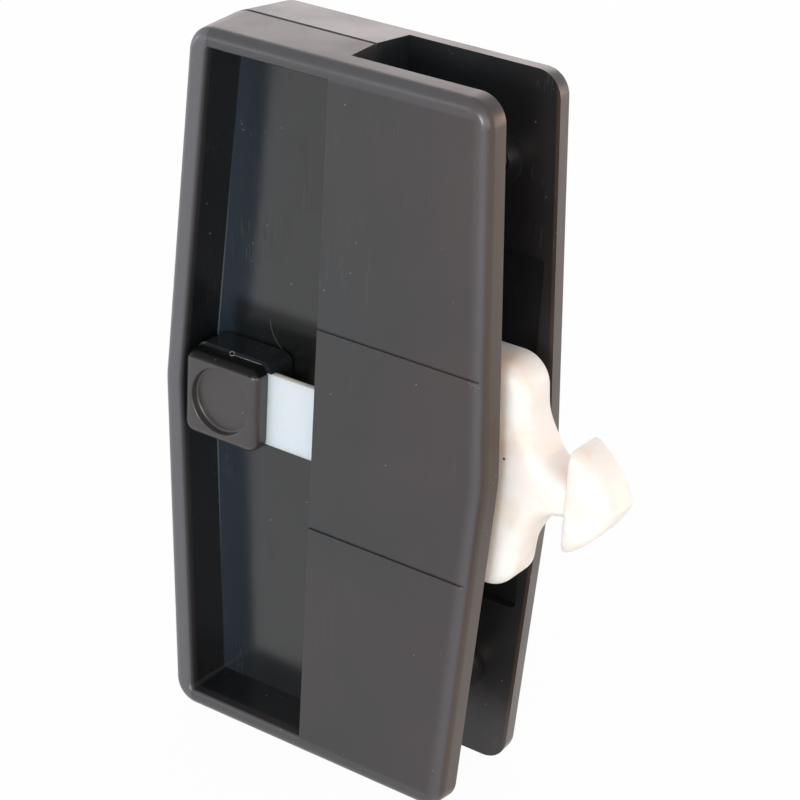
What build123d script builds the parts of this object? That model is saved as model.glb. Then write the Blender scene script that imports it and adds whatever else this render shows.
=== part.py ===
from build123d import *
from math import cos, radians, tan
import os

# Screen door latch: two moulded pulls that clamp a door stile, with a rocking hook between them.
# X runs from the finger cups towards the hook, Y from the inside pull towards the outside one,
# and Z is up. The origin lies midway between the two screws, on the face of the inside pull
# that presses on the stile. All sizes are in millimetres.

# Outline of a pull, a tall hexagon, at its outer face
LENGTH = 120.0
END_WIDTH = 54.7
MIDDLE_WIDTH = 62.1
CORNER_RADIUS = 4.2
WAIST_RADIUS = 20.0
SCREW_OFFSET = 18.0
DRAFT = 4.0
FACE_ROUND = 1.9
REAR_FACE_ROUND = 0.9

# Depths, measured from the face that presses on the stile
FRONT_PLATE = 4.2
REAR_PLATE = 3.4
STILE_GAP = 15.2
PARTING = 6.3
PARTING_CHAMFER = 0.4

# Finger cups
RIM = 3.25
RIM_AT_ENDS = 2.95
CUP_DRAFT = 2.0
CUP_FLOOR = 1.3
DIVIDER = 1.0
DIVIDER_FACE = 17.7
RIM_ROUND = 0.65

# Engraved lines on the inside pull
LINE_HEIGHT = 17.35
LINE_WIDTH = 0.5
LINE_DEPTH = 0.3
LINE_MARGIN = 2.2

# Pockets behind both plates
POCKET_HALF_HEIGHT = 30.6
POCKET_RIGHT = 9.3
POCKET_LEFT = 14.0
POCKET_DEPTH = 1.8
POCKET_CORNER = 1.0

# Screws and the posts and bosses that take them
SCREW_TO_END = 15.4
SCREW_RADIUS = 1.9
SCREW_THREAD_FIT = 0.05
SCREW_CLEARANCE = 0.2
SCREW_REACH = 1.6
SCREW_HOLE_SPARE = 0.6
HEAD_RADIUS = 3.8
HEAD_RECESS = 0.15
HEAD_FIT = 0.05
DRIVE_WIDTH = 0.9
DRIVE_SPAN = 3.6
DRIVE_DEPTH = 1.3
POST_RADIUS = 3.6
POST_HEIGHT = 6.0
POST_FOOT = 1.0
BOSS_RADIUS = 4.05
BOSS_HEIGHT = 0.8

# Pivot of the latch lever
LEVER_AXIS = -1.6
PIVOT_X = -3.0
PIN_RADIUS = 2.0
PIN_PRESS_FIT = 0.02
PIN_RUNNING_FIT = 0.06
PIN_DEPTH = 3.0
PIN_TAIL = 0.7
PIVOT_BOSS_RADIUS = 4.6
WASHER_RADIUS = 4.6
WASHER_THICKNESS = 0.6
WASHER_GAP = 0.15
RING_RADIUS = 4.0
RING_THICKNESS = 0.5
RING_TEETH = 6
RING_TOOTH_SLOT = 0.5

# Latch lever, one nylon moulding; heights are taken from its own axis
BLADE_THICKNESS = 1.2
BLADE_HALF_HEIGHT = 6.24
BLADE_RISE = 0.5
BLADE_MARGIN = 3.9
RUNNING_GAP = 0.3
HUB_RADIUS = 6.6
HOOK_FRONT = 3.0
HOOK_THICKNESS = 7.7
HOOK_FRONT_ROUND = 2.6
HOOK_REAR_ROUND = 0.4
BODY_HALF_HEIGHT = 19.3
BODY_LEFT = 1.0
BODY_RIGHT = 14.4
BODY_LEFT_CORNER = 3.0
BODY_CORNER = 5.0
SHOULDER_X = 15.2
SHOULDER_DROP = 8.7
SHOULDER_ROUND = 9.0
NECK_X = 18.9
NECK_BEND_HEIGHT = 4.1
NECK_HALF_HEIGHT = 2.8
NECK_ROUND = 5.0
BARB_X = 23.4
BARB_HALF_HEIGHT = 8.6
BARB_TIP_WIDTH = 1.0
RAMP_X = 28.3
RAMP_HEIGHT = 4.9
NOSE_X = 31.2
TAIL_HALF_HEIGHT = 5.2
TAIL_LEFT = 14.4
TRAVEL = 12.0

# Centring springs and the shelves that hold their outer ends
SPRING_X = -11.0
SPRING_RADIUS = 2.6
SPRING_WIRE = 0.35
SPRING_TURNS = 6
SPRING_LENGTH = 9.0
SPRING_SEAT = 0.05
PEG_RADIUS = 1.7
PEG_HEIGHT = 1.8
SHELF_THICKNESS = 1.8
SHELF_REACH = 10.6
SHELF_RIGHT = 7.2
SHELF_GAP = 0.4

# Thumb button and the block clipped on behind the blade
CAP_THICKNESS = 3.0
BUTTON_WIDTH = 14.8
BUTTON_WALL_GAP = 1.05
BUTTON_CORNER = 2.0
BUTTON_ROUND = 1.5
DISH_RADIUS = 5.7
DISH_DEPTH = 1.4
DISH_ROUND = 0.35
DISH_LIP = 0.25
BLOCK_WIDTH = 15.1
BLOCK_HEIGHT = 15.4
BLOCK_SHIFT = 0.5
BLOCK_RISE = 0.35
BLOCK_ROUND = 0.4
BLADE_SEAT_GAP = 0.05
BUTTON_PEG_RADIUS = 1.2
BUTTON_PEG_SPACING = 6.0
BUTTON_PEG_FIT = 0.05

# Values that follow from the sizes above
CENTRE_X = -SCREW_OFFSET
FRONT_FACE = -FRONT_PLATE
REAR_FACE = STILE_GAP + REAR_PLATE
SLOPE = tan(radians(DRAFT))
WALL_X = -DIVIDER_FACE
CUP_RIGHT = WALL_X - DIVIDER
FRONT_FLOOR = PARTING - CUP_FLOOR
REAR_FLOOR = PARTING + CUP_FLOOR
SCREW_HEIGHTS = (LENGTH / 2 - SCREW_TO_END, SCREW_TO_END - LENGTH / 2)
BLADE_FRONT = FRONT_FACE + CAP_THICKNESS
BLADE_BACK = BLADE_FRONT + BLADE_THICKNESS
BLADE_MIDDLE = LEVER_AXIS + BLADE_RISE
BUTTON_X = CENTRE_X - MIDDLE_WIDTH / 2 + RIM + BUTTON_WALL_GAP + BUTTON_WIDTH / 2
HOOK_BACK = HOOK_FRONT + HOOK_THICKNESS
WASHER_FRONT = HOOK_BACK + WASHER_GAP
RING_FRONT = WASHER_FRONT + WASHER_THICKNESS
PIN_END = RING_FRONT + RING_THICKNESS + PIN_TAIL
SHELF_HEIGHT = TAIL_HALF_HEIGHT + SPRING_LENGTH + 2 * SPRING_SEAT
SPRING_Y = (HOOK_FRONT + HOOK_BACK) / 2
HUGE = 4 * LENGTH


def at_depth(depth):
    """Sketch plane across the door at a depth; its axes are the part's X and Z."""
    return Plane.XZ.offset(-depth)


def slab(shape, near, far):
    """A flat sketch in X and Z made solid from one depth to a greater one."""
    return extrude(at_depth(far) * shape, far - near)


def block(x_low, x_high, near, far, z_low, z_high):
    """A plain box between two corners."""
    centre = ((x_low + x_high) / 2, (near + far) / 2, (z_low + z_high) / 2)
    return Pos(*centre) * Box(x_high - x_low, far - near, z_high - z_low)


def rod(x, z, radius, near, far):
    """A round bar along Y."""
    return slab(Pos(x, z) * Circle(radius), near, far)


def growth(depth):
    """How far the drafted walls stand out at a depth, past the outline of the front face."""
    return (PARTING - FRONT_FACE - abs(depth - PARTING)) * SLOPE


def outline(grow, ends=0):
    """The hexagon of a pull, larger all round by grow and taller by ends more, corners rounded."""
    top = LENGTH / 2 + grow + ends
    end = END_WIDTH / 2 + grow
    middle = MIDDLE_WIDTH / 2 + grow
    points = [(end, top), (middle, 0), (end, -top), (-end, -top), (-middle, 0), (-end, top)]
    shape = make_face(Polyline(*points, close=True))
    corners = [v for v in shape.vertices() if abs(v.Y) > 1]
    shape = fillet(corners, CORNER_RADIUS + grow)
    waists = [v for v in shape.vertices() if abs(v.Y) < 1]
    return Pos(CENTRE_X, 0) * fillet(waists, WAIST_RADIUS)


def drafted(*sections, ends=0):
    """A body whose walls slope from one outline to the next; a section is a depth and its growth."""
    return loft([at_depth(depth) * outline(grow, ends) for depth, grow in sections], ruled=True)


def cup_space(face, floor):
    """The hollow of a finger cup: it narrows from the rim to the floor and has a flat right wall."""
    at_face = growth(face) - RIM
    at_floor = at_face - abs(floor - face) * tan(radians(CUP_DRAFT))
    room = drafted((face, at_face), (floor, at_floor), ends=RIM - RIM_AT_ENDS)
    return room & block(-HUGE, CUP_RIGHT, -HUGE, HUGE, -HUGE, HUGE)


def pull_shell(face, seat, floor):
    """One pull before its details: drafted outside, finger cup, and the open stile slot."""
    edge = PARTING + (PARTING_CHAMFER if face > PARTING else -PARTING_CHAMFER)
    seam = growth(PARTING) - PARTING_CHAMFER
    shell = drafted((face, growth(face)), (edge, growth(edge)), (PARTING, seam))
    shell -= block(WALL_X, HUGE, min(seat, PARTING), max(seat, PARTING), -HUGE, HUGE)
    outer = [e for e in shell.edges() if abs(e.center().Y - face) < 0.01]
    shell = fillet(outer, FACE_ROUND if face < seat else REAR_FACE_ROUND)
    shell -= cup_space(face, floor)
    rim = [e for e in shell.edges() if abs(e.center().Y - face) < 0.01 and is_rim(e)]
    return fillet(rim, RIM_ROUND)


def is_rim(edge):
    """True for the cup's left, top and bottom edges, which are softened; its right edge is sharp."""
    middle = edge.center()
    in_height = abs(middle.Z) < LENGTH / 2 - RIM_AT_ENDS + 0.5
    inside = in_height and middle.X > CENTRE_X - MIDDLE_WIDTH / 2 + RIM - 1
    return inside and middle.X < CUP_RIGHT - 0.01


def pocket(seat, bottom):
    """The shallow rectangle behind a plate that leaves room for the lever and its pin."""
    width = POCKET_LEFT + POCKET_RIGHT
    shape = RectangleRounded(width, 2 * POCKET_HALF_HEIGHT, POCKET_CORNER)
    shape = Pos((POCKET_RIGHT - POCKET_LEFT) / 2, 0) * shape
    return slab(shape, min(seat, bottom), max(seat, bottom))


def engraved_line(height):
    """A shallow line from the cup's edge across the panel, with a round end."""
    end = CENTRE_X + MIDDLE_WIDTH / 2 - LINE_MARGIN
    line = block(CUP_RIGHT - 1, end, FRONT_FACE - 1, FRONT_FACE + LINE_DEPTH,
                 height - LINE_WIDTH / 2, height + LINE_WIDTH / 2)
    return line + rod(end, height, LINE_WIDTH / 2, FRONT_FACE - 1, FRONT_FACE + LINE_DEPTH)


def blade_window():
    """The opening in the divider that the lever's blade rocks in."""
    tilt = radians(TRAVEL)
    swing = (PIVOT_X - CUP_RIGHT) * tan(tilt) + BLADE_HALF_HEIGHT / cos(tilt) + RUNNING_GAP
    return block(CUP_RIGHT - 1, 1 - POCKET_LEFT, BLADE_FRONT - RUNNING_GAP, BLADE_BACK + RUNNING_GAP,
                 BLADE_MIDDLE - swing, BLADE_MIDDLE + swing)


def spring_shelf(side):
    """A shelf above or below the lever's tail, with a peg for the spring."""
    low = SHELF_HEIGHT
    high = SHELF_HEIGHT + SHELF_THICKNESS
    heights = sorted((LEVER_AXIS + side * low, LEVER_AXIS + side * high))
    shelf = block(WALL_X + SHELF_GAP, -SHELF_RIGHT, -POCKET_DEPTH, SHELF_REACH, *heights)
    shelf += block(WALL_X - DIVIDER / 2, -SHELF_RIGHT, 0, PARTING - SHELF_GAP, *heights)
    foot = LEVER_AXIS + side * low
    return shelf + spring_peg(foot, -side)


def spring_peg(height, side):
    """A round peg that centres the end of a spring; side is the way that it points."""
    peg = Cylinder(PEG_RADIUS, 2 * PEG_HEIGHT)
    return Pos(SPRING_X, SPRING_Y, height) * peg & block(
        -HUGE, HUGE, -HUGE, HUGE, min(height - 0.5 * side, height + side * PEG_HEIGHT),
        max(height - 0.5 * side, height + side * PEG_HEIGHT))


def front_half():
    """The inside pull: cup, panel, screw posts, pivot boss and spring shelves in one moulding."""
    half = pull_shell(FRONT_FACE, 0, FRONT_FLOOR)
    half -= pocket(0, -POCKET_DEPTH)
    half -= blade_window()
    half += rod(PIVOT_X, LEVER_AXIS, PIVOT_BOSS_RADIUS, -POCKET_DEPTH - 1, BLADE_FRONT - RUNNING_GAP)
    half -= rod(PIVOT_X, LEVER_AXIS, PIN_RADIUS + PIN_PRESS_FIT, -PIN_DEPTH, 1)
    for height in SCREW_HEIGHTS:
        half += rod(0, height, POST_RADIUS, 0, POST_HEIGHT)
        flare = Rot(90, 0, 0) * Cone(POST_RADIUS, POST_RADIUS + POST_FOOT, POST_FOOT)
        half += Pos(0, POST_FOOT / 2, height) * flare
        depth = SCREW_REACH + SCREW_HOLE_SPARE
        half -= rod(0, height, SCREW_RADIUS + SCREW_THREAD_FIT, -depth, POST_HEIGHT + 1)
    for side in (1, -1):
        half += spring_shelf(side)
        half -= engraved_line(side * LINE_HEIGHT)
    return half


def head_cone(radius, shank, face):
    """A countersunk head at a face, narrowing at 45 degrees towards the shank."""
    depth = radius - shank
    return Pos(0, face - depth / 2, 0) * Rot(90, 0, 0) * Cone(radius, shank, depth)


def rear_half():
    """The outside pull: cup, panel, pocket and two countersunk screw bosses."""
    half = pull_shell(REAR_FACE, STILE_GAP, REAR_FLOOR)
    half -= pocket(STILE_GAP, STILE_GAP + POCKET_DEPTH)
    hole = SCREW_RADIUS + SCREW_CLEARANCE
    for height in SCREW_HEIGHTS:
        half += rod(0, height, BOSS_RADIUS, STILE_GAP - BOSS_HEIGHT, STILE_GAP)
        half -= rod(0, height, hole, STILE_GAP - BOSS_HEIGHT - 1, REAR_FACE + 1)
        sink = head_cone(HEAD_RADIUS + HEAD_FIT, SCREW_RADIUS, REAR_FACE - HEAD_RECESS)
        half -= Pos(0, 0, height) * sink
        half -= rod(0, height, HEAD_RADIUS + HEAD_FIT, REAR_FACE - HEAD_RECESS, REAR_FACE + 1)
    return half


def stile_screw(height):
    """A countersunk machine screw from the outside pull into a post of the inside one."""
    head = REAR_FACE - HEAD_RECESS
    screw = head_cone(HEAD_RADIUS, SCREW_RADIUS, head)
    screw += rod(0, 0, SCREW_RADIUS, -SCREW_REACH, head - (HEAD_RADIUS - SCREW_RADIUS) / 2)
    for turn in (0, 90):
        slot = Box(DRIVE_SPAN, 2 * DRIVE_DEPTH, DRIVE_WIDTH)
        screw -= Pos(0, head, 0) * Rot(0, turn, 0) * slot
    return Pos(0, 0, height) * screw


def mirrored_face(points):
    """A flat shape from the points of its upper half; the lower half mirrors them."""
    return make_face(Polyline(*points, *[(x, -z) for x, z in reversed(points)], close=True))


def round_corners(shape, x, radius):
    """Round the two corners of a flat shape that stand at one X."""
    return fillet([v for v in shape.vertices() if abs(v.X - x) < 0.01], radius)


def hook_slab(shape, only_curves=False):
    """The thickness of the hook given to a flat shape, well rounded in front and barely behind."""
    solid = slab(shape, HOOK_FRONT, HOOK_BACK)
    for depth, radius in ((HOOK_FRONT, HOOK_FRONT_ROUND), (HOOK_BACK, HOOK_REAR_ROUND)):
        rim = [e for e in solid.edges() if abs(e.center().Y - depth) < 0.01]
        if only_curves:
            rim = [e for e in rim if e.geom_type != GeomType.LINE]
        solid = fillet(rim, radius)
    return solid


def hook_body():
    """The tall body behind the panel and the neck that runs out of it."""
    shape = mirrored_face([
        (PIVOT_X, TAIL_HALF_HEIGHT),
        (BODY_LEFT, BODY_HALF_HEIGHT),
        (BODY_RIGHT, BODY_HALF_HEIGHT),
        (SHOULDER_X, BODY_HALF_HEIGHT - SHOULDER_DROP),
        (NECK_X, NECK_BEND_HEIGHT),
        (BARB_X + BARB_TIP_WIDTH, NECK_HALF_HEIGHT),
    ])
    shape = round_corners(shape, BODY_LEFT, BODY_LEFT_CORNER)
    shape = round_corners(shape, BODY_RIGHT, BODY_CORNER)
    shape = round_corners(shape, SHOULDER_X, SHOULDER_ROUND)
    shape = round_corners(shape, NECK_X, NECK_ROUND)
    return hook_slab(shape)


def hook_head():
    """The arrow-shaped head: two barbs and a blunt nose that bulges between them."""
    tip = BARB_X + BARB_TIP_WIDTH
    ramp = ThreePointArc((tip, BARB_HALF_HEIGHT), (RAMP_X, RAMP_HEIGHT), (NOSE_X, 0))
    upper = [Line((BARB_X, 0), (BARB_X, BARB_HALF_HEIGHT)),
             Line((BARB_X, BARB_HALF_HEIGHT), (tip, BARB_HALF_HEIGHT)), ramp]
    lower = [mirror(edge, about=Plane.XZ) for edge in upper]
    return hook_slab(make_face(upper + lower), only_curves=True)


def latch_lever():
    """The nylon lever: hook, body, hub, tail and the thin blade that reaches into the cup."""
    lever = hook_body() + hook_head()
    lever += rod(PIVOT_X, 0, HUB_RADIUS, BLADE_FRONT, HOOK_BACK)
    lever += block(-TAIL_LEFT, PIVOT_X, BLADE_FRONT, HOOK_BACK, -TAIL_HALF_HEIGHT, TAIL_HALF_HEIGHT)
    lever += block(BUTTON_X - BLADE_MARGIN, PIVOT_X, BLADE_FRONT, BLADE_BACK,
                   BLADE_RISE - BLADE_HALF_HEIGHT, BLADE_RISE + BLADE_HALF_HEIGHT)
    lever -= rod(PIVOT_X, 0, PIN_RADIUS + PIN_RUNNING_FIT, FRONT_FACE, HOOK_BACK + 1)
    lever = Pos(0, 0, LEVER_AXIS) * lever
    for side in (1, -1):
        lever += spring_peg(LEVER_AXIS + side * TAIL_HALF_HEIGHT, side)
    for height in button_peg_heights():
        lever -= rod(BUTTON_X, height, BUTTON_PEG_RADIUS + BUTTON_PEG_FIT, FRONT_FACE, HOOK_FRONT)
    return lever


def button_peg_heights():
    """The heights of the two pegs that hold the button to the blade."""
    return (BLADE_MIDDLE + BUTTON_PEG_SPACING / 2, BLADE_MIDDLE - BUTTON_PEG_SPACING / 2)


def thumb_button():
    """The square cap with a round thumb dish in its face and two pegs behind it."""
    square = Pos(BUTTON_X, BLADE_MIDDLE) * RectangleRounded(BUTTON_WIDTH, BUTTON_WIDTH, BUTTON_CORNER)
    cap = slab(square, FRONT_FACE, BLADE_FRONT)
    cap = fillet(cap.faces().sort_by(Axis.Y)[0].edges(), BUTTON_ROUND)
    dish = rod(BUTTON_X, BLADE_MIDDLE, DISH_RADIUS, FRONT_FACE - 1, FRONT_FACE + DISH_DEPTH)
    dish = fillet(dish.faces().sort_by(Axis.Y)[-1].edges(), DISH_ROUND)
    cap -= dish
    mouth = [e for e in cap.edges().filter_by(GeomType.CIRCLE) if e.radius == DISH_RADIUS]
    cap = fillet([e for e in mouth if abs(e.center().Y - FRONT_FACE) < 0.01], DISH_LIP)
    for height in button_peg_heights():
        cap += rod(BUTTON_X, height, BUTTON_PEG_RADIUS, BLADE_FRONT, FRONT_FLOOR - 2 * RUNNING_GAP)
    return cap


def button_block():
    """The block clipped on the cap's pegs: it fills the cup to its floor and holds the blade."""
    square = RectangleRounded(BLOCK_WIDTH, BLOCK_HEIGHT, BUTTON_CORNER)
    square = Pos(BUTTON_X + BLOCK_SHIFT, BLADE_MIDDLE + BLOCK_RISE) * square
    body = slab(square, BLADE_FRONT, FRONT_FLOOR - RUNNING_GAP)
    body = fillet(body.faces().sort_by(Axis.Y)[-1].edges(), BLOCK_ROUND)
    reach = BLADE_HALF_HEIGHT + BLADE_SEAT_GAP
    body -= block(-HUGE, HUGE, BLADE_FRONT - 1, BLADE_BACK, BLADE_MIDDLE - reach, BLADE_MIDDLE + reach)
    for height in button_peg_heights():
        body -= rod(BUTTON_X, height, BUTTON_PEG_RADIUS + BUTTON_PEG_FIT, BLADE_FRONT - 1, FRONT_FLOOR)
    return body


def pivot_pin():
    """The steel pin that the lever rocks on, with one end pressed into the inside pull."""
    pin = rod(PIVOT_X, LEVER_AXIS, PIN_RADIUS, -PIN_DEPTH, PIN_END)
    return chamfer(pin.edges().filter_by(GeomType.CIRCLE), 0.3)


def pivot_washer():
    """The flat washer between the hub and the retaining ring."""
    washer = rod(PIVOT_X, LEVER_AXIS, WASHER_RADIUS, WASHER_FRONT, RING_FRONT)
    return washer - rod(PIVOT_X, LEVER_AXIS, PIN_RADIUS + PIN_PRESS_FIT, 0, PIN_END)


def retaining_ring():
    """The push-on ring, slit from inside into teeth that grip the pin."""
    back = RING_FRONT + RING_THICKNESS
    ring = rod(PIVOT_X, LEVER_AXIS, RING_RADIUS, RING_FRONT, back)
    ring -= rod(PIVOT_X, LEVER_AXIS, PIN_RADIUS + PIN_PRESS_FIT, 0, PIN_END)
    slit_end = (PIN_RADIUS + RING_RADIUS) / 2
    slit = block(0, slit_end, RING_FRONT - 1, back + 1, -RING_TOOTH_SLOT / 2, RING_TOOTH_SLOT / 2)
    for tooth in range(RING_TEETH):
        turned = Rot(0, 360 / RING_TEETH * tooth, 0) * slit
        ring -= Pos(PIVOT_X, 0, LEVER_AXIS) * turned
    return ring


def centring_spring(side):
    """A compression spring between a shelf and the lever's tail."""
    height = SPRING_LENGTH - 2 * SPRING_WIRE
    pitch = height / SPRING_TURNS
    coil = Helix(pitch, height, SPRING_RADIUS)
    section = Plane(origin=coil @ 0, z_dir=coil % 0) * Circle(SPRING_WIRE)
    spring = sweep(section, path=coil)
    start = TAIL_HALF_HEIGHT + SPRING_SEAT + SPRING_WIRE
    low = start if side > 0 else -start - height
    return Pos(SPRING_X, SPRING_Y, LEVER_AXIS + low) * spring


def main():
    parts = {
        "front_half": front_half(),
        "rear_half": rear_half(),
        "latch_lever": latch_lever(),
        "thumb_button": thumb_button(),
        "button_block": button_block(),
        "pivot_pin": pivot_pin(),
        "pivot_washer": pivot_washer(),
        "retaining_ring": retaining_ring(),
    }
    for name, side in (("upper", 1), ("lower", -1)):
        parts["centring_spring_" + name] = centring_spring(side)
        parts["stile_screw_" + name] = stile_screw(side * SCREW_HEIGHTS[0])
    os.makedirs("parts", exist_ok=True)
    for name, shape in parts.items():
        export_step(shape, f"parts/{name}.step")
        print(name, round(shape.volume, 1))


main()
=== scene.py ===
# %% [markdown]
# # A screen door latch, dressed for its portrait
#
# The latch is two black moulded pulls that clamp a door's stile, a white nylon lever that rocks
# between them, and a square thumb button on the lever's blade. The solids come ready made from the
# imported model, which is the fixed frame of this scene. Each step below takes one piece, makes the
# surface that the real one has, and says why it was done that way.

# %% Load the frame and note its size
import math

import bpy
from mathutils import Matrix, Vector


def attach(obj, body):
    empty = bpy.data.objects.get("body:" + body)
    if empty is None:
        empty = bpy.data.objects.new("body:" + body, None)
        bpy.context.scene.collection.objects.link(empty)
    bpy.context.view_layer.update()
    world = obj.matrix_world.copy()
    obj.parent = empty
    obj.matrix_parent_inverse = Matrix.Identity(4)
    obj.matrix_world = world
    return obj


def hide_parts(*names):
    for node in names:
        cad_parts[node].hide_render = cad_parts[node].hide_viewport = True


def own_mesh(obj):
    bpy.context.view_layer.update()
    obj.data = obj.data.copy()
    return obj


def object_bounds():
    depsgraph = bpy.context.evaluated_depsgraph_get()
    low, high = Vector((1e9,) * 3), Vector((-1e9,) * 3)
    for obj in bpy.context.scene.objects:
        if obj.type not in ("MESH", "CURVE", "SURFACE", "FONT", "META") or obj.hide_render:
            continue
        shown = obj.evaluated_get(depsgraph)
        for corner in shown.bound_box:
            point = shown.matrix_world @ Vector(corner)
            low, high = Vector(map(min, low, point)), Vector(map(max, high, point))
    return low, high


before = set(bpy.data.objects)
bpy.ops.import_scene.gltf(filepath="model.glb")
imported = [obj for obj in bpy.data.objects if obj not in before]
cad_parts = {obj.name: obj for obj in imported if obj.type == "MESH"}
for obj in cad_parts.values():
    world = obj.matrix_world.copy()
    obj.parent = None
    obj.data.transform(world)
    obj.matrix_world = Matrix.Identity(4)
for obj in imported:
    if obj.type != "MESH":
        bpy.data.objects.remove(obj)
cad_low, cad_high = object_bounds()
print("frame size in mm:", [round(1000 * (b - a), 1) for a, b in zip(cad_low, cad_high)])

# %% [markdown]
# ## Units and small helpers
#
# Blender works in metres, and a latch is measured in millimetres, so one constant turns one into the
# other. Colours are written as the hex values that a screen shows. Shaders mix light, not screen
# values, so one function turns them to linear numbers. Operators act on everything that is selected,
# so each piece is made the only selected one before it is worked on.

# %% Helpers for units, colours and selection
MM = 0.001


def mm(lengths):
    """Lengths in millimetres as a tuple in metres."""
    return tuple(length * MM for length in lengths)


def linear(hex_colour):
    """Screen colour such as 'A0B1C2' as linear red, green, blue and alpha."""
    channels = [int(hex_colour[i:i + 2], 16) / 255 for i in (0, 2, 4)]
    curve = [c / 12.92 if c <= 0.04045 else ((c + 0.055) / 1.055) ** 2.4 for c in channels]
    return (*curve, 1.0)


def only(piece):
    """Make one piece the active and only selected object."""
    if bpy.context.mode != "OBJECT":
        bpy.ops.object.mode_set(mode="OBJECT")
    bpy.ops.object.select_all(action="DESELECT")
    piece.select_set(True)
    bpy.context.view_layer.objects.active = piece


print("mid grey is", round(linear("808080")[0], 3), "in linear light")

# %% [markdown]
# A material is a small tree of nodes. One helper adds any node with its settings and its links, so that
# each finish below reads as a list of steps. An input is a plain value, another node's output, or a
# whole node, which stands for its first output. Inputs are filled in the order in which the node shows
# them, or by name. Most masks are made with a Map Range node that eases in and out, so that setting
# has a short name.

# %% A helper that adds a node, and one that starts a material
SMOOTH = {"interpolation_type": "SMOOTHSTEP"}


def fill(tree, node, inputs):
    """Set inputs of a node, by name or number, to values, or link them to other nodes."""
    for key, value in inputs.items():
        if isinstance(value, bpy.types.Node):
            value = next(output for output in value.outputs if output.enabled)
        if isinstance(value, bpy.types.NodeSocket):
            tree.links.new(value, node.inputs[key])
        else:
            node.inputs[key].default_value = value


def add(tree, kind, *values, named=None, **settings):
    """Add a node with its settings, then fill the inputs that it shows, in order or by name."""
    node = tree.nodes.new("ShaderNode" + kind)
    for key, value in settings.items():
        setattr(node, key, value)
    shown = [number for number, socket in enumerate(node.inputs) if socket.enabled]
    fill(tree, node, {**dict(zip(shown, values)), **(named or {})})
    return node


def new_finish(name, **constants):
    """A material with its shader, its tree and the piece's own coordinates."""
    finish = bpy.data.materials.new(name)
    finish.use_nodes = True
    tree = finish.node_tree
    shader = tree.nodes["Principled BSDF"]
    fill(tree, shader, {key.replace("_", " "): value for key, value in constants.items()})
    place = add(tree, "TexCoord").outputs["Object"]
    return finish, tree, shader, place


print("node helpers ready")

# %% [markdown]
# ## Black moulded ABS
#
# Both pulls and the button are ABS plastic, injected into a steel mould. The mould was blasted, so the
# skin is satin: light spreads a little, and the black looks dark grey under a frontal light. Old ABS is
# not one black but drifts between a cool and a brownish one over a few centimetres. On it lie hairline
# scratches and dust. They could be painted into an image, but patterns need no picture file, and their
# sizes can be given in millimetres of the real latch. A hairline is the crest of a noise that is drawn
# out along one direction, and a grain of dust is the middle of a cell, in a random share of the cells.

# %% Patterns: grain, hairlines and dots
GRAIN_FALLOFF = 0.55
CREST_WIDTH = 0.012
SCRATCH_PATCH = 9.0
PATCH_EDGE = 0.06
DOT_CORE = 0.6


def grain(tree, place, size_mm, detail=2.0, stretch=(1, 1, 1), turn=(0, 0, 0), offset=(0, 0, 0)):
    """Soft random patches about size_mm across, stretched or turned as asked."""
    scale = tuple(1 / (size_mm * MM * s) for s in stretch)
    mapped = add(tree, "Mapping", place, offset, turn, scale)
    return add(tree, "TexNoise", mapped, 1.0, detail, GRAIN_FALLOFF)


def scratches(tree, place, gap_mm, length_mm, turn, offset, keep):
    """Hairlines: grain drawn out along one direction, of which only the sharp crests are kept."""
    fine = grain(tree, place, gap_mm, 0.5, (1, 1, length_mm / gap_mm), turn, offset)
    off_crest = add(tree, "Math", fine, 0.5, operation="SUBTRACT")
    off_crest = add(tree, "Math", off_crest, operation="ABSOLUTE")
    line = add(tree, "MapRange", off_crest, 0.0, CREST_WIDTH, 1.0, 0.0, **SMOOTH)
    patch = grain(tree, place, SCRATCH_PATCH, offset=offset)
    in_patch = add(tree, "MapRange", patch, keep, keep + PATCH_EDGE, **SMOOTH)
    return add(tree, "Math", line, in_patch, operation="MULTIPLY")


def specks(tree, place, cell_mm, size, share):
    """Scattered dots: in a random share of cells, the small ball round the cell's middle."""
    cells = add(tree, "TexVoronoi", place, 1 / (cell_mm * MM))
    dot = add(tree, "MapRange", cells, size * DOT_CORE, size, 1.0, 0.0, **SMOOTH)
    lot = add(tree, "SeparateColor", cells.outputs["Color"])
    drawn = add(tree, "Math", lot, share, operation="LESS_THAN")
    return add(tree, "Math", dot, drawn, operation="MULTIPLY")


print("a crest is kept within", CREST_WIDTH, "of the noise's middle value")

# %% [markdown]
# Wear isn't the same everywhere, so a mask says where it is. A mask could be painted on the mesh, but
# the meshes are as fine as their solids need, and not as fine as the wear, so it is worked out from the
# place of a point instead. There are two simple shapes, both with soft edges: a box and a ball. A scuff
# is a ball that is sown with small pale flecks. A curved scratch is a thin line at one distance from a
# centre, of which a ball keeps a part. A real one is near 0.05 mm wide. That would be too fine to show,
# so it is drawn about 0.17 mm wide, and faint.

# %% Masks: boxes, balls, scuffs and arcs
ARC_WIDTH = (0.04, 0.13)


def inside_box(tree, place, low_mm, high_mm, soft):
    """One inside a box of the piece's space, with edges as soft as asked, in millimetres."""
    axes = add(tree, "SeparateXYZ", place).outputs
    inside = 1.0
    for axis, low, high in zip("XYZ", low_mm, high_mm):
        rise = add(tree, "MapRange", axes[axis], *mm((low - soft, low + soft)), **SMOOTH)
        fall = add(tree, "MapRange", axes[axis], *mm((high - soft, high + soft)), 1.0, 0.0, **SMOOTH)
        slab = add(tree, "Math", rise, fall, operation="MULTIPLY")
        inside = add(tree, "Math", inside, slab, operation="MULTIPLY")
    return inside


def spot(tree, place, centre_mm, radius_mm, core=0.35):
    """A soft ball: one within a share of its radius, and nothing beyond the radius."""
    gap = add(tree, "VectorMath", place, mm(centre_mm), operation="DISTANCE")
    return add(tree, "MapRange", gap, *mm((core * radius_mm, radius_mm)), 1.0, 0.0, **SMOOTH)


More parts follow.
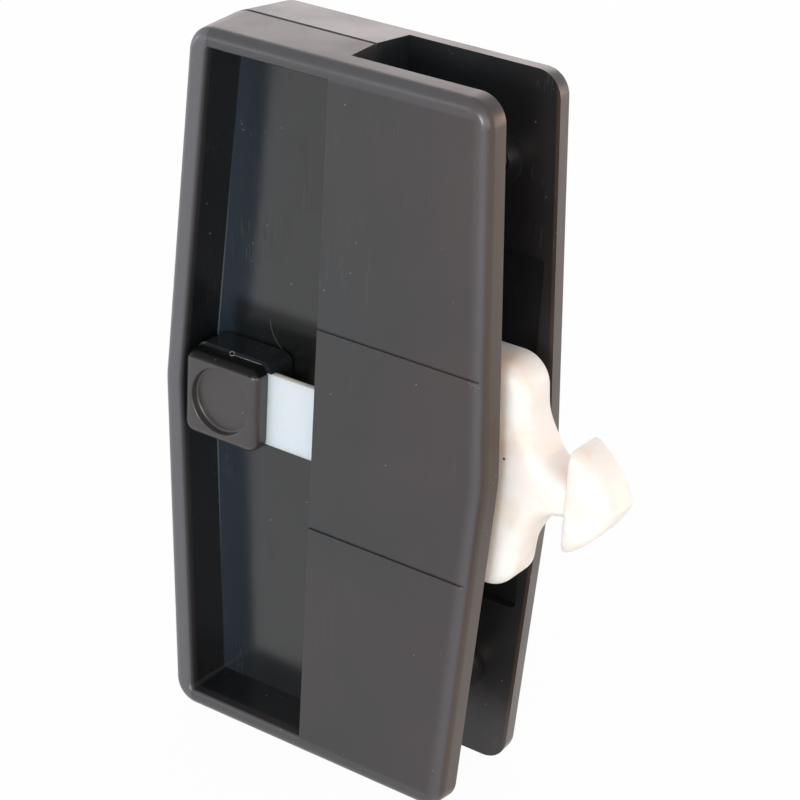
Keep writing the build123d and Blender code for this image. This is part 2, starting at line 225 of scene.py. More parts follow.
def flecked_spots(tree, place, spots):
    """Pale flecks inside soft balls, each given by its middle and its radius in millimetres."""
    flecks = specks(tree, place, cell_mm=0.55, size=0.26, share=0.3)
    reach = 0.0
    for centre_mm, radius_mm in spots:
        ball = spot(tree, place, centre_mm, radius_mm)
        reach = add(tree, "Math", reach, ball, operation="MAXIMUM")
    return add(tree, "Math", flecks, reach, operation="MULTIPLY")


def curved_marks(tree, place, arcs):
    """Thin curved scratches: of each circle's line, the part that lies near one point."""
    marks = 0.0
    for centre_mm, radius_mm, middle_mm, reach_mm in arcs:
        gap = add(tree, "VectorMath", place, mm(centre_mm), operation="DISTANCE")
        off_line = add(tree, "Math", gap, radius_mm * MM, operation="SUBTRACT")
        off_line = add(tree, "Math", off_line, operation="ABSOLUTE")
        line = add(tree, "MapRange", off_line, *mm(ARC_WIDTH), 1.0, 0.0, **SMOOTH)
        near = spot(tree, place, middle_mm, reach_mm, core=0.6)
        arc = add(tree, "Math", line, near, operation="MULTIPLY")
        marks = add(tree, "Math", marks, arc, operation="MAXIMUM")
    return marks


print("arcs are drawn", round(sum(ARC_WIDTH), 2), "mm wide")

# %% [markdown]
# The lists below say where each piece was knocked or rubbed: on the edges that stand out, where hands
# pass, and where a thumb pushes the button. One button spot, at the cap's top right corner, is a
# painted glint instead. One arc is a long scratch on the cup's floor, and the other a crescent nick on
# the panel.

# %% Where the wear and the painted light are, in millimetres
# Scuffs are (middle, radius).
INSIDE_SCUFFS = [((10.2, -4.2, 16.6), 1.3), ((12.6, -1.2, 1.4), 2.4), ((12.6, 0.6, -4.2), 2.6),
                 ((12.6, 0.4, -9.0), 2.2), ((-42.3, -4.2, -56.9), 0.9), ((-41.2, 5.0, 42.0), 1.8),
                 ((-34.3, 6.2, 60.6), 0.9)]
OUTSIDE_SCUFFS = [((-9.3, 15.2, 59.4), 1.6), ((-3.0, 15.2, 57.3), 1.7), ((6.2, 15.2, 59.6), 1.2),
                  ((9.6, 15.2, 58.0), 1.6), ((13.4, 14.9, -17.0), 3.0), ((13.0, 15.0, -24.0), 2.6),
                  ((13.6, 15.0, -8.0), 2.0)]
# The first button spot, at the cap's top right corner, is a painted glint; the others are scuffs.
BUTTON_SCUFFS_AND_GLINT = [((-30.9, -3.6, 5.4), 0.8), ((-43.6, -2.6, -2.0), 1.4), ((-38.4, -1.3, 6.4), 1.2)]
# Arcs are (the circle's centre, its radius, middle of the part that is kept, reach of that part).
INSIDE_ARCS = [((-28.6, 5.0, 11.7), 6.0, (-33.2, 5.0, 8.8), 3.2),
               ((10.2, -4.2, 16.1), 0.6, (10.2, -4.2, 16.6), 0.8)]
# Boxes are (low corner, high corner, softness).
INSIDE_CUP = ((-46.2, -2.2, -57.6), (-18.7, 5.6, 57.6), 0.4)
OUTSIDE_CUP = ((-46.2, 7.2, -57.6), (-18.7, 14.6, 57.6), 0.4)
# Painted shade: boxes painted darker and duller, for the button's shadow and the cap's shaded top edge.
CUP_PAINTED_SHADE = ((-42.0, 4.3, 5.0), (-17.0, 5.9, 13.4), 1.6)
CAP_PAINTED_SHADE = ((-44.9, -4.18, 5.0), (-28.0, 0.0, 7.0), 0.08)
print(len(INSIDE_SCUFFS) + len(OUTSIDE_SCUFFS) + len(BUTTON_SCUFFS_AND_GLINT), "worn spots")

# %% [markdown]
# The pulls are hexagons: their long edges lean in from the waist to both ends. A mask that follows such
# an edge must lean with it, so the lean is taken out of a point's place first. The rim round the cup
# and the panel's right edge are painted paler, a painted highlight for the sheen of their rounded
# faces. The cup was polished in the mould, and its mask stops short of the pull's outer faces.

# %% Masks that follow the pulls' outline
WAIST_SLOPE = 0.0617
LEFT, RIGHT = -1, 1
CUP_RIM = (-45.6, -45.0)
CUP_ENDS = (56.9, 57.5)
PANEL_RIM = (10.0, 12.2)
RIM_DEPTH = (-3.6, -2.8)
OUTER_FACE = (-47.6, -47.0)
ENDS_AMOUNT = 0.3
PANEL_AMOUNT = 0.55


def from_edge(tree, axes, side):
    """How far right a point lies, with the lean of the left or right edges taken out."""
    height = add(tree, "Math", axes["Z"], operation="ABSOLUTE")
    lean = add(tree, "Math", height, side * WAIST_SLOPE, operation="MULTIPLY")
    return add(tree, "Math", axes["X"], lean, operation="ADD")


# Painted highlight: the rim and the panel's right edge are painted paler for their rounded faces'
# sheen.
def rim_highlight(tree, axes):
    """One on the cup's left rim, and less on its ends and on the panel's right edge."""
    left = from_edge(tree, axes, LEFT)
    left = add(tree, "MapRange", left, *mm(CUP_RIM), 1.0, 0.0, **SMOOTH)
    height = add(tree, "Math", axes["Z"], operation="ABSOLUTE")
    ends = add(tree, "MapRange", height, *mm(CUP_ENDS), 0.0, ENDS_AMOUNT, **SMOOTH)
    right = from_edge(tree, axes, RIGHT)
    right = add(tree, "MapRange", right, *mm(PANEL_RIM), 0.0, PANEL_AMOUNT, **SMOOTH)
    rim = add(tree, "Math", left, ends, operation="MAXIMUM")
    rim = add(tree, "Math", rim, right, operation="MAXIMUM")
    at_face = add(tree, "MapRange", axes["Y"], *mm(RIM_DEPTH), 1.0, 0.0, **SMOOTH)
    return add(tree, "Math", rim, at_face, operation="MULTIPLY")


def polished_cup(tree, place, axes, cup):
    """One inside the cup, whose box is cut off along the rim."""
    inside = inside_box(tree, place, *cup)
    edge = from_edge(tree, axes, LEFT)
    within_rim = add(tree, "MapRange", edge, *mm(OUTER_FACE), **SMOOTH)
    return add(tree, "Math", inside, within_rim, operation="MULTIPLY")


print("each long edge leans in by", round(60 * WAIST_SLOPE, 1), "mm on its way to an end")

# %% [markdown]
# The colour is laid in layers. First the plastic itself, browner towards the right. Then, on a pull,
# the rim, painted paler as a painted highlight of its rounded faces; the side faces, painted warm as a
# painted reflection of the warm light at the right; and the cup, painted blacker as the painted shade
# of the recess, and cooler where its floor meets the left wall, a painted cool shade. A thin pale line
# in that corner is a painted highlight of the small round there. Rim, sides and cup could be materials
# of their own on their faces, but one material fades softly between them.

# %% The colours of the black
ABS_COLOUR = "282A2C"
ABS_BROWN = "362E2F"
# Painted shade: a darker black for the outside pull, seen in the dark slot, and for the block.
BACK_SHADE_COLOUR = "1D2225"
BACK_SHADE_BROWN = "211D1D"
BUTTON_COLOUR = "383536"
# Painted light: rim paler as a highlight, sides brown as a warm reflection, cup black and cool as
# shade.
RIM_HIGHLIGHT_COLOUR = "525257"
SIDE_WARM_REFLECTION = "3F332C"
CUP_SHADE_BLACK = "16181A"
CUP_COOL_SHADE = "263039"
# Painted highlight: the pale line along the corner of the cup's floor and left wall.
CORNER_HIGHLIGHT_COLOUR = "6E7476"
BROWN_SPAN = (-16.0, 14.0)
SIDE_FACE = (12.3, 12.8)
COOL_SPAN = (-44.0, -32.0)
FLOOR_DEPTH = (4.7, 4.9)
CUP_CORNER = -45.48
CORNER_HIGHLIGHT_WIDTH = (0.05, 0.16)
CORNER_HIGHLIGHT_AMOUNT = 0.8
DRIFT_SIZE = 30.0
SIDE_AMOUNT = 0.6
DRIFT_AMOUNT = 0.5


def moulded_colour(tree, place, axes, base, base_brown):
    """The plastic's own black, browner to the right and in slow clouds."""
    drift = grain(tree, place, DRIFT_SIZE, offset=(0.4, 0.2, 0.7))
    across = add(tree, "MapRange", axes["X"], *mm(BROWN_SPAN), 0.0, SIDE_AMOUNT, **SMOOTH)
    clouds = add(tree, "MapRange", drift, 0.35, 0.7, 0.0, DRIFT_AMOUNT, **SMOOTH)
    brown = add(tree, "Math", across, clouds, operation="ADD", use_clamp=True)
    return add(tree, "Mix", brown, linear(base), linear(base_brown), data_type="RGBA")


def pull_colour(tree, axes, polished, colour):
    """A pull's painted light: paler rim, warm sides, black and cool cup, pale corner line."""
    # Painted highlight on the rim, then a painted warm reflection on the side faces.
    rim = rim_highlight(tree, axes)
    colour = add(tree, "Mix", rim, colour, linear(RIM_HIGHLIGHT_COLOUR), data_type="RGBA")
    side = add(tree, "MapRange", from_edge(tree, axes, RIGHT), *mm(SIDE_FACE), **SMOOTH)
    colour = add(tree, "Mix", side, colour, linear(SIDE_WARM_REFLECTION), data_type="RGBA")
    # Painted shade: the cup is blacker, and cooler where its floor meets the left wall.
    colour = add(tree, "Mix", polished, colour, linear(CUP_SHADE_BLACK), data_type="RGBA")
    on_floor = add(tree, "MapRange", axes["Y"], *mm(FLOOR_DEPTH), **SMOOTH)
    cool = add(tree, "MapRange", axes["X"], *mm(COOL_SPAN), 1.0, 0.0, **SMOOTH)
    cool = add(tree, "Math", polished, cool, operation="MULTIPLY")
    cool = add(tree, "Math", cool, on_floor, operation="MULTIPLY")
    colour = add(tree, "Mix", cool, colour, linear(CUP_COOL_SHADE), data_type="RGBA")
    # Painted highlight: a thin pale line along the corner of the cup's floor and left wall.
    gap = from_edge(tree, axes, LEFT)
    gap = add(tree, "Math", gap, CUP_CORNER * MM, operation="SUBTRACT")
    gap = add(tree, "Math", gap, operation="ABSOLUTE")
    flash = add(tree, "MapRange", gap, *mm(CORNER_HIGHLIGHT_WIDTH), CORNER_HIGHLIGHT_AMOUNT, 0.0, **SMOOTH)
    flash = add(tree, "Math", flash, polished, operation="MULTIPLY")
    flash = add(tree, "Math", flash, on_floor, operation="MULTIPLY")
    return add(tree, "Mix", flash, colour, linear(CORNER_HIGHLIGHT_COLOUR), data_type="RGBA")


print("cup colours:", CUP_SHADE_BLACK, "and", CUP_COOL_SHADE)

# %% [markdown]
# Up close the skin isn't flat. It has the grain of the blasted mould, the slow waves of a moulded wall,
# and faint lines from the mould's polishing. All of it is less than 0.1 mm deep and changes no outline,
# so it is a bump in the shading and not in the mesh. The real grain is near 0.05 mm, and the lines are
# near 0.1 mm apart. Both would be too fine to show in a picture of the whole latch, so they are drawn
# at 0.35 and 0.3 mm. Scratches cut into that skin, and dust and scuffs lie on it. A grain of dust near
# 0.1 mm would be lost as well, and is drawn at 0.25 mm.

# %% The relief and the wear of the black
# Layers of relief are (size, detail, stretch, height), with sizes and heights in millimetres.
RELIEF = [(0.35, 2.0, (1, 1, 1), 0.010), (6.0, 1.0, (1, 1, 1), 0.08), (0.3, 2.0, (1, 1, 14), 0.008)]
# Hairlines are (gap between them, length, turn, offset, level of a patchy noise over which they show).
HAIRLINES = [(0.5, 26.0, (0.25, 0.1, 0.3), (0.01, 0.02, 0.0), 0.56),
             (0.45, 18.0, (1.25, 0.9, 0.1), (0.3, 0.1, 0.2), 0.6)]
SCRATCH_DEPTH = 0.02
DUST_AMOUNT = 0.5
SCUFF_AMOUNT = 0.6
ARC_AMOUNT = 0.14


def hairlines(tree, place):
    """Two families of hairlines, each at its own slant."""
    marks = 0.0
    for family in HAIRLINES:
        lines = scratches(tree, place, *family)
        marks = add(tree, "Math", marks, lines, operation="MAXIMUM")
    return marks


def pale_wear_and_glint(tree, place, spots, arcs):
    """Dust, and scuffs, a painted glint and curved scratches where the lists say."""
    dust = specks(tree, place, cell_mm=2.6, size=0.06, share=0.3)
    pale = add(tree, "Math", dust, DUST_AMOUNT, operation="MULTIPLY")
    if spots:
        scuffs_and_glint = flecked_spots(tree, place, spots)
        scuffs_and_glint = add(tree, "Math", scuffs_and_glint, SCUFF_AMOUNT, operation="MULTIPLY")
        pale = add(tree, "Math", pale, scuffs_and_glint, operation="MAXIMUM")
        curved = curved_marks(tree, place, arcs)
        curved = add(tree, "Math", curved, ARC_AMOUNT, operation="MULTIPLY")
        pale = add(tree, "Math", pale, curved, operation="MAXIMUM")
    return pale


def satin_relief(tree, place, marks):
    """The layers of relief, less the scratches' depth."""
    height = 0.0
    for size_mm, detail, stretch, height_mm in RELIEF:
        layer = grain(tree, place, size_mm, detail, stretch)
        layer = add(tree, "Math", layer, height_mm, operation="MULTIPLY")
        height = add(tree, "Math", height, layer, operation="ADD")
    depth = add(tree, "Math", marks, SCRATCH_DEPTH, operation="MULTIPLY")
    height = add(tree, "Math", height, depth, operation="SUBTRACT")
    return add(tree, "Bump", named={"Height": height, "Strength": 0.5, "Distance": MM})


print("relief layers:", [layer[0] for layer in RELIEF], "mm")

# %% [markdown]
# One function puts the layers together. It is called once for each black piece, since each has its own
# wear: the pulls have cups, which are glossier and mirror the button. The floor just above the button
# and the button's top edge are painted darker and duller, a painted shade that stands in for the
# button's shadow and dark reflection on the floor and for the shade on the cap's top edge. The block
# behind the button is plain and glossy. ABS has an IOR near 1.54, and a satin moulded skin a roughness
# near 0.33, against 0.16 for a polished one.

# %% The black ABS finishes
SCRATCH_COLOUR = "6A6866"
PALE_MARK_COLOUR = "9A9792"
# Painted shade: colour and shine of the boxes above the button and on the cap's top edge.
PAINTED_SHADE_COLOUR = "101110"
PLAIN_SHINE = 0.5
CUP_SHINE = 0.66
CUP_GLOSS = 0.6
PAINTED_SHADE_SHINE = 0.2
ABS_GLOSS_PATCH = 14.0
SCRATCH_AMOUNT = 0.1
WORN_ROUGHNESS = 0.15


def black_abs(name, base, base_brown, roughness, spots=(), cup=None, painted_shade=None, arcs=()):
    """Satin black ABS; cup and painted_shade are boxes of a polished cup and of painted shade."""
    finish, tree, shader, place = new_finish(name, IOR=1.54)
    axes = add(tree, "SeparateXYZ", place).outputs
    colour = moulded_colour(tree, place, axes, base, base_brown)
    uneven = grain(tree, place, ABS_GLOSS_PATCH, 3.0)
    rough = add(tree, "MapRange", uneven, 0.3, 0.75, roughness - 0.04, roughness + 0.05, **SMOOTH)
    shine = PLAIN_SHINE
    if cup:
        polished = polished_cup(tree, place, axes, cup)
        colour = pull_colour(tree, axes, polished, colour)
        gloss = add(tree, "Math", rough, CUP_GLOSS, operation="MULTIPLY")
        rough = add(tree, "Mix", polished, rough, gloss)
        shine = add(tree, "MapRange", polished, 0.0, 1.0, PLAIN_SHINE, CUP_SHINE, **SMOOTH)
    # Painted shade: inside its box, the piece is painted darker and less shiny.
    if painted_shade:
        shaded_box = inside_box(tree, place, *painted_shade)
        colour = add(tree, "Mix", shaded_box, colour, linear(PAINTED_SHADE_COLOUR), data_type="RGBA")
        left_over = add(tree, "MapRange", shaded_box, 0.0, 1.0, 1.0, PAINTED_SHADE_SHINE, **SMOOTH)
        shine = add(tree, "Math", shine, left_over, operation="MULTIPLY")
    marks = hairlines(tree, place)
    faint = add(tree, "Math", marks, SCRATCH_AMOUNT, operation="MULTIPLY")
    colour = add(tree, "Mix", faint, colour, linear(SCRATCH_COLOUR), data_type="RGBA")
    pale = pale_wear_and_glint(tree, place, spots, arcs)
    colour = add(tree, "Mix", pale, colour, linear(PALE_MARK_COLOUR), data_type="RGBA")
    worn = add(tree, "Math", marks, pale, operation="ADD")
    worn = add(tree, "Math", worn, WORN_ROUGHNESS, operation="MULTIPLY")
    rough = add(tree, "Math", rough, worn, operation="ADD")
    relief = satin_relief(tree, place, marks)
    fill(tree, shader, {"Base Color": colour, "Specular IOR Level": shine, "Roughness": rough,
                        "Normal": relief})
    return finish


inside_abs = black_abs("black ABS, satin, inside pull", ABS_COLOUR, ABS_BROWN, 0.34, INSIDE_SCUFFS,
                       INSIDE_CUP, CUP_PAINTED_SHADE, INSIDE_ARCS)
outside_abs = black_abs("black ABS, satin, outside pull", BACK_SHADE_COLOUR, BACK_SHADE_BROWN, 0.33, OUTSIDE_SCUFFS,
                        OUTSIDE_CUP, CUP_PAINTED_SHADE)
button_abs = black_abs("black ABS, satin, thumb button", BUTTON_COLOUR, ABS_BROWN, 0.32, BUTTON_SCUFFS_AND_GLINT,
                       painted_shade=CAP_PAINTED_SHADE)
block_abs = black_abs("black ABS, glossy, button block", BACK_SHADE_COLOUR, BACK_SHADE_BROWN, 0.16)
print("finishes:", [m.name for m in bpy.data.materials if "ABS" in m.name])

# %% [markdown]
# ## White nylon
#
# The lever is nylon, chosen because it slides on steel without oil. As moulded it is a bright, slightly
# milky white: some light goes in and comes out again nearby, which softens its shadows. A paler colour
# alone would look like chalk, so a little subsurface scattering gives that. Nylon has an IOR near 1.53,
# and moulded it is smoother than satin and duller than gloss. Some light is painted on: the blade is
# painted cooler inside the cup for the cup's cool light, its top edge paler and warmer as a painted
# highlight, and the body's upper corner orange for warm light that passes through the nylon. Handling
# leaves faint warm clouds and a few dark specks. The moulded skin's grain, near 0.1 mm, would be too
# fine to show and is drawn at 0.5 mm.

# %% The nylon finish
NYLON_COLOUR = "F2EFEC"
NYLON_HANDLED = "EDE1D8"
NYLON_COOL_LIGHT = "E9EDF0"
NYLON_EDGE_HIGHLIGHT = "FFF3E4"
WARM_LIGHT_COLOUR = "EFC6A6"
NYLON_SPECK = "4A3F38"
MILKY_DEPTH = 6.0
CLOUD_SIZE = 7.0
NYLON_GLOSS_PATCH = 3.0
SKIN_GRAIN = 0.5
SKIN_HEIGHT = 0.02
# In millimetres: where the blade leaves the cup, its top edge, and (middle, radius, core) of the
# painted warm light and of a speck.
CUP_END = (-20.0, -12.0)
BLADE_TOP = ((-32.0, -1.3, 5.05), (-16.0, 0.1, 5.3), 0.05)
HOOK_WARM_LIGHT = ((9.8, 4.0, 20.6), 6.5, 0.1)
HOOK_SPECK = ((12.2, 3.0, 2.4), 0.3, 0.5)
WARM_LIGHT_AMOUNT = 0.8


def white_nylon(name):
    """Milky white nylon with faint handling marks and some painted light."""
    finish, tree, shader, place = new_finish(name, IOR=1.53, Subsurface_Weight=0.8,
                                             Subsurface_Radius=(1.0, 0.7, 0.52),
                                             Subsurface_Scale=MILKY_DEPTH * MM)
    clouds = add(tree, "MapRange", grain(tree, place, CLOUD_SIZE, 3.0), 0.45, 0.75, **SMOOTH)
    colour = add(tree, "Mix", clouds, linear(NYLON_COLOUR), linear(NYLON_HANDLED), data_type="RGBA")
    across = add(tree, "SeparateXYZ", place).outputs["X"]
    in_cup = add(tree, "MapRange", across, *mm(CUP_END), 1.0, 0.0, **SMOOTH)
    # Painted cool light on the blade inside the cup.
    colour = add(tree, "Mix", in_cup, colour, linear(NYLON_COOL_LIGHT), data_type="RGBA")
    top = inside_box(tree, place, *BLADE_TOP)
    # Painted highlight on the blade's top edge.
    colour = add(tree, "Mix", top, colour, linear(NYLON_EDGE_HIGHLIGHT), data_type="RGBA")
    # Painted warm light: orange at the body's upper corner, for light passing through the nylon.
    stain = add(tree, "Math", spot(tree, place, *HOOK_WARM_LIGHT), WARM_LIGHT_AMOUNT, operation="MULTIPLY")
    colour = add(tree, "Mix", stain, colour, linear(WARM_LIGHT_COLOUR), data_type="RGBA")
    dots = specks(tree, place, cell_mm=3.4, size=0.05, share=0.12)
    dots = add(tree, "Math", dots, spot(tree, place, *HOOK_SPECK), operation="MAXIMUM")
    colour = add(tree, "Mix", dots, colour, linear(NYLON_SPECK), data_type="RGBA")
    uneven = grain(tree, place, NYLON_GLOSS_PATCH)
    rough = add(tree, "MapRange", uneven, 0.3, 0.7, 0.36, 0.48, **SMOOTH)
    skin = grain(tree, place, SKIN_GRAIN, 3.0)
    height = add(tree, "Math", skin, SKIN_HEIGHT, operation="MULTIPLY")
    relief = add(tree, "Bump", named={"Height": height, "Strength": 0.4, "Distance": MM})
    fill(tree, shader, {"Base Color": colour, "Roughness": rough, "Normal": relief})
    return finish


nylon = white_nylon("white nylon, as moulded")
print("finish:", nylon.name)

# %% [markdown]
# ## Steel
#
# The small hardware is steel: zinc plated screws and washer, a ground pin, drawn spring wire and a dark
# phosphated retaining ring. All are fully metallic and keep the shader's own IOR, and their roughness
# runs from 0.22 for the ground pin to 0.45 for the phosphated ring. All have fine marks from how they
# were made. The pin's run along it, and those of the others have no direction, because on such small
# pieces none can be told. An anisotropic shader could stand for them, but uneven gloss looks right from
# every side. The real marks are near 0.02 mm. They would be too fine to show, so they are drawn at 0.08
# to 0.15 mm.

# %% The steel finishes
STAIN_SIZE = 1.8
MARK_DEPTH = 0.01


def steel(name, colour, stain, roughness, grain_mm, stretch=(1, 1, 1)):
    """A metal with fine making marks and a faint stain."""
    finish, tree, shader, place = new_finish(name, Metallic=1.0)
    cloud = add(tree, "MapRange", grain(tree, place, STAIN_SIZE, 3.0), 0.42, 0.72, **SMOOTH)
    stained = add(tree, "Mix", cloud, linear(colour), linear(stain), data_type="RGBA")
    marks = grain(tree, place, grain_mm, stretch=stretch)
    rough = add(tree, "MapRange", marks, 0.25, 0.75, roughness - 0.07, roughness + 0.09, **SMOOTH)
    height = add(tree, "Math", marks, MARK_DEPTH, operation="MULTIPLY")
    relief = add(tree, "Bump", named={"Height": height, "Strength": 0.4, "Distance": MM})
    fill(tree, shader, {"Base Color": stained, "Roughness": rough, "Normal": relief})
    return finish


zinc = steel("zinc plated steel", "C2C4C2", "A9A59A", 0.3, 0.12)
ground = steel("ground steel pin", "C9C9C7", "B5B3AE", 0.22, 0.08, (1, 6, 1))
wire = steel("drawn spring wire", "A8A9AA", "8E8D8A", 0.3, 0.08)
dark_steel = steel("phosphated spring steel", "55534F", "45423D", 0.45, 0.15)
print("finishes:", zinc.name, "|", ground.name, "|", wire.name, "|", dark_steel.name)

# %% [markdown]
# ## Dressing a moulded piece
#
# The imported solids are the right shape, but their triangles are loose, so their rounded edges would
# look faceted. The pieces could be modelled again, but would lose the sizes of the solids. Each is
# therefore a copy of its solid: the points that coincide are merged, flat regions are cleaned, and the
# shading is smoothed across gentle angles only. The copy then stands for the solid, which stays in the
# frame for collision, hidden. The lever's tail presses a spring shorter when it rocks; each spring's
# copy gets a mesh of its own.

# %% Copy, clean and smooth a solid
MERGE_DISTANCE = 0.002 * MM
FLAT_ANGLE = math.radians(0.2)
SMOOTH_ANGLE = math.radians(32)


def dress(node, name, finish, body):
    """A smooth copy of a solid, with its finish, that stands for it."""
    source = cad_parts[node]
    piece = bpy.data.objects.new(name, source.data.copy())
    bpy.context.scene.collection.objects.link(piece)
    only(piece)
    bpy.ops.object.mode_set(mode="EDIT")
    bpy.ops.mesh.select_all(action="SELECT")
    bpy.ops.mesh.remove_doubles(threshold=MERGE_DISTANCE)
    bpy.ops.mesh.customdata_custom_splitnormals_clear()
    bpy.ops.mesh.dissolve_limited(angle_limit=FLAT_ANGLE)
    bpy.ops.object.mode_set(mode="OBJECT")
    piece.data.materials.clear()
    piece.data.materials.append(finish)
    bpy.ops.object.shade_smooth_by_angle(angle=SMOOTH_ANGLE)
    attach(piece, body)
    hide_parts(node)
    print(name, "has", len(piece.data.polygons), "faces")
    return piece


dress("front_half", "inside_pull_shell", inside_abs, "housing")
dress("rear_half", "outside_pull_shell", outside_abs, "housing")
dress("latch_lever", "nylon_lever", nylon, "lever")
dress("thumb_button", "thumb_cap", button_abs, "lever")
dress("button_block", "button_back_block", block_abs, "lever")
dress("pivot_pin", "steel_pivot_pin", ground, "housing")
dress("pivot_washer", "plated_washer", zinc, "housing")
dress("retaining_ring", "dark_retaining_ring", dark_steel, "housing")
for side, place_name in ((1, "upper"), (-1, "lower")):
    spring = dress("centring_spring_" + place_name, "wire_spring_" + place_name, wire, "housing")
    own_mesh(spring)
    dress("stile_screw_" + place_name, "plated_screw_" + place_name, zinc, "housing")

# %% [markdown]
# The cap was pressed on the blade and welded. Some plastic was squeezed out along its back top edge and
# left a thin pale thread there, with a curl at its end. It could be swept along a curve, but is thinner
# than a pixel or two, where a rod and a ring, joined, look the same.

# %% A thread of flash on the cap
THREAD_COLOUR = "8E9290"
THREAD_SHADE = "5A5C58"
THREAD_PATCH = 0.6
THREAD_RADIUS = 0.06 * MM
THREAD_LENGTH = 5.6 * MM
THREAD_PLACE = mm((-34.2, -1.2, 6.32))
CURL_RADIUS = 0.38 * MM
CURL_PLACE = mm((-37.0, -1.6, 6.68))
CURL_TURN = (math.radians(50), 0, math.radians(33))
bpy.ops.object.select_all(action="DESELECT")
bpy.ops.mesh.primitive_cylinder_add(
    vertices=12, radius=THREAD_RADIUS, depth=THREAD_LENGTH, location=THREAD_PLACE,
    rotation=(0, math.radians(90), 0))
thread = bpy.context.object
bpy.ops.mesh.primitive_torus_add(
    major_segments=24, minor_segments=8, major_radius=CURL_RADIUS, minor_radius=THREAD_RADIUS,
    location=CURL_PLACE, rotation=CURL_TURN)
thread.select_set(True)
bpy.context.view_layer.objects.active = thread
bpy.ops.object.join()
bpy.ops.object.transform_apply(location=True, rotation=True, scale=True)
thread.name = "flash_thread"
flash_finish, tree, shader, place = new_finish("grey ABS flash", Roughness=0.35, IOR=1.54)
patches = add(tree, "MapRange", grain(tree, place, THREAD_PATCH), 0.4, 0.65, **SMOOTH)
greys = add(tree, "Mix", patches, linear(THREAD_COLOUR), linear(THREAD_SHADE), data_type="RGBA")
fill(tree, shader, {"Base Color": greys})
thread.data.materials.append(flash_finish)
bpy.ops.object.shade_smooth_by_angle(angle=SMOOTH_ANGLE)
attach(thread, "lever")
print("thread has", len(thread.data.polygons), "faces")

# %% [markdown]
# ## The stage
#
# The latch stands on a plain pale floor in front of nothing. To the camera and in reflections the
# floor glows about as white as the world, and to all other light it is matt paper. Lamps could whiten
# it too, but their light would also fall on the latch.

# %% Floor
FLOOR_SIZE = 3.0
FLOOR_GAP = 0.1 * MM
WHITE_TO_CAMERA = 0.97
floor_height = cad_low[2] - FLOOR_GAP
bpy.ops.object.select_all(action="DESELECT")
bpy.ops.mesh.primitive_plane_add(size=FLOOR_SIZE, location=(0, 0, floor_height))
floor = bpy.context.object
floor.name = "pale_floor"
paper, tree, shader, place = new_finish("pale matt paper", Base_Color=linear("F2F2F0"),
                                        Roughness=0.9, Specular_IOR_Level=0.1)
rays = add(tree, "LightPath").outputs
in_picture = add(tree, "Math", rays["Is Camera Ray"], WHITE_TO_CAMERA, operation="MULTIPLY")
seen = add(tree, "Math", in_picture, rays["Is Glossy Ray"], operation="MAXIMUM")
share = add(tree, "Math", seen, rays["Is Transmission Ray"], operation="MAXIMUM")
glow = add(tree, "Emission", (1, 1, 1, 1), 1.0)
both = add(tree, "MixShader", share, shader, glow)
fill(tree, tree.nodes["Material Output"], {"Surface": both})
floor.data.materials.append(paper)
print("floor at", round(floor_height / MM, 2), "mm")

# %% [markdown]
# A photographer lays a dark card beside a glossy thing, outside the picture, so that a dark line runs
# along its rounded edges and shows their shape. The latch has such a line at the panel's right edge and
# at the button's. The card is seen only in reflections, and casts no shadow.

# %% Dark card
CARD_SIZE = 110 * MM
CARD_LIFT = 1 * MM
CARD_PLACE = (125 * MM, -85 * MM, floor_height + CARD_LIFT)
bpy.ops.mesh.primitive_plane_add(size=CARD_SIZE, location=CARD_PLACE)
card = bpy.context.object
card.name = "dark_card"
felt, tree, shader, place = new_finish("black felt", Base_Color=linear("0C0C0C"), Roughness=1.0,
                                       Specular_IOR_Level=0.0)
card.data.materials.append(felt)
card.visible_camera = card.visible_diffuse = card.visible_shadow = False
print("card ready")

# %% [markdown]
# The world is white to the camera and in reflections, and gives a softer, dimmer light to the surfaces
# themselves. So the background stays white, and the lamps can shape the latch.

# %% World
ROOM_LIGHT = 0.5
world = bpy.data.worlds.new("soft white room")
bpy.context.scene.world = world
world.use_nodes = True
tree = world.node_tree
rays = add(tree, "LightPath").outputs
seen = add(tree, "Math", rays["Is Camera Ray"], rays["Is Transmission Ray"], operation="MAXIMUM")
seen = add(tree, "Math", seen, rays["Is Glossy Ray"], operation="MAXIMUM")
strength = add(tree, "MapRange", seen, 0.0, 1.0, ROOM_LIGHT, 1.0)
fill(tree, tree.nodes["Background"], {"Color": (1, 1, 1, 1), "Strength": strength})
print("world ready")

# %% [markdown]
# The photograph's shadows and highlights say where its light came from. The front plate's shadow on
# the rear one gives the front lamp: a little right of square to the panel and a little above it. The
# pale top faces ask for a large lamp high behind, and the warm side faces for one behind at the right.
# Two weaker ones at the right fill the hook, and two at the left the cup's rim and the button. The
# wider a lamp is, the softer its shadows are.

# %% Lamps
TARGET = Vector((-8 * MM, 6 * MM, 0))
LAMP_DISTANCE = 0.9
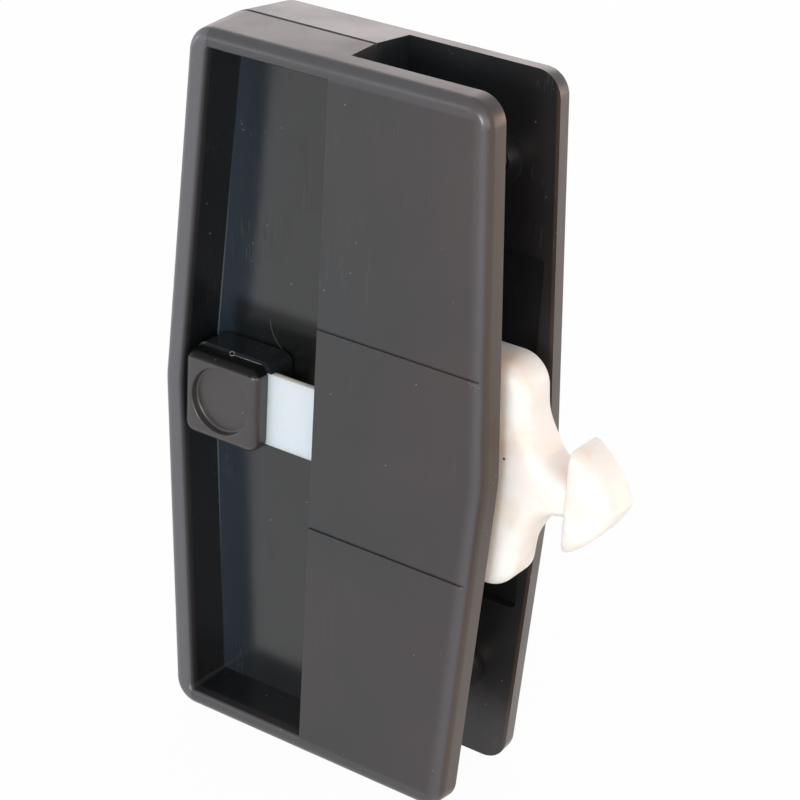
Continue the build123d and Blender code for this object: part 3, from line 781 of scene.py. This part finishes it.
# Lamps are (name, direction from the latch, width in metres, power in watts, colour).
LAMPS = [("front lamp", (0.238, -0.954, 0.184), 0.22, 3.4, "FFFFFF"),
         ("low front lamp", (-0.5, -0.75, 0.1), 0.3, 0.6, "FFFFFF"),
         ("left lamp", (-0.95, -0.3, 0.12), 0.35, 1.1, "E4ECFF"),
         ("high back lamp", (-0.497, 0.755, 0.5), 0.7, 2.2, "FFEBEA"),
         ("side lamp", (0.85, -0.45, 0.2), 0.4, 1.5, "FFE9DA"),
         ("right lamp", (0.5, -0.8, 0.35), 0.4, 1.0, "FFF8F4"),
         ("right back lamp", (0.6, 0.75, 0.12), 0.35, 1.9, "FFDCC8")]
for name, direction, width, power, colour in LAMPS:
    data = bpy.data.lights.new(name, "AREA")
    data.size = width
    data.energy = power
    data.color = linear(colour)[:3]
    light = bpy.data.objects.new(name, data)
    light.location = TARGET + Vector(direction).normalized() * LAMP_DISTANCE
    light.rotation_euler = (TARGET - light.location).to_track_quat("-Z", "Y").to_euler()
    bpy.context.scene.collection.objects.link(light)
print(len(LAMPS), "lamps ready")

# %% [markdown]
# ## Camera
#
# The camera stands where the photographer's did: 33 degrees to the right of the panel's normal and
# 25 degrees above it, rolled by three and a half degrees, with a long lens. It could be aimed by eye,
# but its three axes and its place were fitted to the outline of the two pulls, which is more exact.

# %% Camera
SENSOR_WIDTH = 36.0
LENS_LENGTH = 111.969
CAMERA_PLACE = Vector((185.145, -289.250, 171.752)) * MM
RIGHT_AXIS = Vector((0.81935, 0.57067, 0.05450))
UP_AXIS = Vector((-0.28522, 0.32334, 0.90226))
BACK_AXIS = Vector((0.49728, -0.75485, 0.42769))
camera_data = bpy.data.cameras.new("portrait camera")
camera_data.sensor_width = SENSOR_WIDTH
camera_data.lens = LENS_LENGTH
camera_data.clip_start = 0.01
camera = bpy.data.objects.new("portrait camera", camera_data)
turn = Matrix((RIGHT_AXIS, UP_AXIS, BACK_AXIS)).transposed().to_4x4()
camera.matrix_world = Matrix.Translation(CAMERA_PLACE) @ turn
bpy.context.scene.collection.objects.link(camera)
bpy.context.scene.camera = camera
bpy.context.scene.view_settings.view_transform = "Standard"
print("camera at", [round(v / MM) for v in camera.location], "mm")
